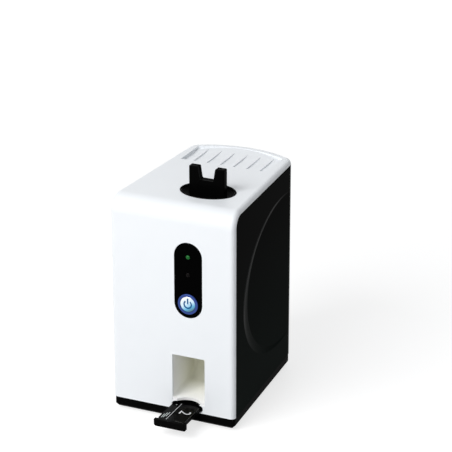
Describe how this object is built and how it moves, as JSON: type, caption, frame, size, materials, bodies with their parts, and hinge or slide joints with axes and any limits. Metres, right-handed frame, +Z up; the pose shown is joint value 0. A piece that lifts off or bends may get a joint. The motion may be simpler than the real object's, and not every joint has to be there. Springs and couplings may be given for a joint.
{
  "type": "phosphor plate scanner",
  "caption": "Upright desktop scanner for dental imaging plates, with a top plate guide, a front chute and a pull-out exit tray.",
  "frame": {"origin": "on the table plane, below the middle of the whole object with the exit tray pulled out", "axes": "+X to the right of a person facing the front, +Y to the rear, +Z up"},
  "size_m": [0.14, 0.2356, 0.2692],
  "materials": {
    "cover_white": "satin moulded plastic",
    "panel_black": "semi-gloss moulded plastic",
    "base_black": "fine textured plastic",
    "foot_rubber": "soft rubber",
    "guide_black": "satin moulded plastic",
    "fascia_black": "high gloss",
    "ring_silver": "bright, tinted blue by the light",
    "button_blue": "frosted, lit from behind",
    "led_green": "lit lens",
    "led_dark": "unlit lens",
    "liner_white": "smooth moulded plastic",
    "tray_black": "satin moulded plastic",
    "plate_black": "coated plastic sheet",
    "sheet_steel": "zinc plated sheet",
    "shaft_steel": "ground steel",
    "bush_bronze": "sintered bronze",
    "roller_rubber": "ground rubber",
    "guide_inner": "black moulded plastic",
    "pulley_white": "moulded nylon",
    "belt_rubber": "toothed rubber",
    "motor_steel": "black case",
    "cast_alloy": "as cast",
    "mirror_alloy": "polished facets",
    "brass_housing": "turned",
    "lens_glass": "coated",
    "collector_clear": "polished acrylic",
    "detector_shield": "metal shield",
    "board_green": "solder mask",
    "component_black": "moulded packages",
    "socket_metal": "tinned shell"
  },
  "bodies": {
    "chassis": {"front_top_cover": "cover_white", "side_panel_left": "panel_black", "side_panel_right": "panel_black", "rear_panel": "panel_black", "base_pan": "base_black", "rubber_feet": "foot_rubber", "guide_dish": "guide_black", "control_fascia": "fascia_black", "button_ring": "ring_silver", "button_switch": "component_black", "ready_led": "led_green", "error_led": "led_dark", "panel_board": "board_green", "chute_liner": "liner_white", "tray_rails": "guide_inner", "transport_frame_left": "sheet_steel", "transport_frame_right": "sheet_steel", "tie_rods": "shaft_steel", "shaft_bushes": "bush_bronze", "path_guide_front": "guide_inner", "path_guide_rear": "guide_inner", "drive_belt": "belt_rubber", "stepper_motor": "motor_steel", "optics_bench": "cast_alloy", "scan_motor": "motor_steel", "laser_module": "brass_housing", "collimator_lens": "lens_glass", "scan_lens": "lens_glass", "light_collector": "collector_clear", "detector_tube": "detector_shield", "erase_lamp": "board_green", "main_board": "board_green", "board_standoffs": "bush_bronze", "board_components": "component_black", "usb_port": "socket_metal", "power_jack": "component_black", "fixing_screws": "shaft_steel"},
    "tray": {"exit_tray": "tray_black"},
    "plate": {"imaging_plate": "plate_black"},
    "guide": {"plate_guide": "guide_black"},
    "button": {"power_button": "button_blue", "switch_plunger": "component_black"},
    "mirror": {"polygon_mirror": "mirror_alloy"},
    "motor_rotor": {"motor_shaft": "shaft_steel", "motor_pulley": "pulley_white"},
    "upper_drive": {"upper_drive_shaft": "shaft_steel", "upper_drive_sleeve": "roller_rubber", "upper_drive_pulley": "pulley_white"},
    "upper_pinch": {"upper_pinch_axle": "shaft_steel", "upper_pinch_sleeve": "roller_rubber"},
    "middle_drive": {"middle_drive_shaft": "shaft_steel", "middle_drive_sleeve": "roller_rubber", "middle_drive_pulley": "pulley_white"},
    "middle_pinch": {"middle_pinch_axle": "shaft_steel", "middle_pinch_sleeve": "roller_rubber"},
    "lower_drive": {"lower_drive_shaft": "shaft_steel", "lower_drive_sleeve": "roller_rubber", "lower_drive_pulley": "pulley_white"},
    "lower_pinch": {"lower_pinch_axle": "shaft_steel", "lower_pinch_sleeve": "roller_rubber"}
  },
  "joints": [
    {"name": "tray_slide", "type": "slide", "parent": "chassis", "child": "tray", "axis": [0, -1, 0], "range_m": [-0.0375, 0]},
    {"name": "plate_tip", "type": "hinge", "parent": "tray", "child": "plate", "pos_m": [0.0154, -0.0736, 0.0185], "axis": [-1, 0, 0], "range_deg": [0, 25]},
    {"name": "guide_lift", "type": "slide", "parent": "chassis", "child": "guide", "axis": [0, 0, 1], "range_m": [0, 0.04]},
    {"name": "button_press", "type": "slide", "parent": "chassis", "child": "button", "axis": [0, 1, 0], "range_m": [0, 0.0008], "stiffness_N_per_m": 1500},
    {"name": "upper_drive_spin", "type": "hinge", "parent": "chassis", "child": "upper_drive", "pos_m": [0.0175, -0.01815, 0.214], "axis": [1, 0, 0], "continuous": true},
    {"name": "upper_pinch_spin", "type": "hinge", "parent": "chassis", "child": "upper_pinch", "pos_m": [0.0175, -0.03045, 0.214], "axis": [1, 0, 0], "continuous": true},
    {"name": "middle_drive_spin", "type": "hinge", "parent": "chassis", "child": "middle_drive", "pos_m": [0.0175, -0.01815, 0.184], "axis": [1, 0, 0], "continuous": true},
    {"name": "middle_pinch_spin", "type": "hinge", "parent": "chassis", "child": "middle_pinch", "pos_m": [0.0175, -0.03045, 0.184], "axis": [1, 0, 0], "continuous": true},
    {"name": "lower_drive_spin", "type": "hinge", "parent": "chassis", "child": "lower_drive", "pos_m": [0.0175, -0.01815, 0.154], "axis": [1, 0, 0], "continuous": true},
    {"name": "lower_pinch_spin", "type": "hinge", "parent": "chassis", "child": "lower_pinch", "pos_m": [0.0175, -0.03045, 0.154], "axis": [1, 0, 0], "continuous": true},
    {"name": "motor_spin", "type": "hinge", "parent": "chassis", "child": "motor_rotor", "pos_m": [-0.015, 0.02785, 0.214], "axis": [1, 0, 0], "continuous": true},
    {"name": "mirror_spin", "type": "hinge", "parent": "chassis", "child": "mirror", "pos_m": [0.0175, 0.0587, 0.169], "axis": [0, 0, 1], "continuous": true}
  ],
  "couplings": [
    {"joint": "upper_pinch_spin", "follows": "upper_drive_spin", "ratio": -1.4},
    {"joint": "middle_drive_spin", "follows": "upper_drive_spin", "ratio": 1},
    {"joint": "middle_pinch_spin", "follows": "upper_drive_spin", "ratio": -1.4},
    {"joint": "lower_drive_spin", "follows": "upper_drive_spin", "ratio": 1},
    {"joint": "lower_pinch_spin", "follows": "upper_drive_spin", "ratio": -1.4},
    {"joint": "motor_spin", "follows": "upper_drive_spin", "ratio": 1.3333}
  ]
}
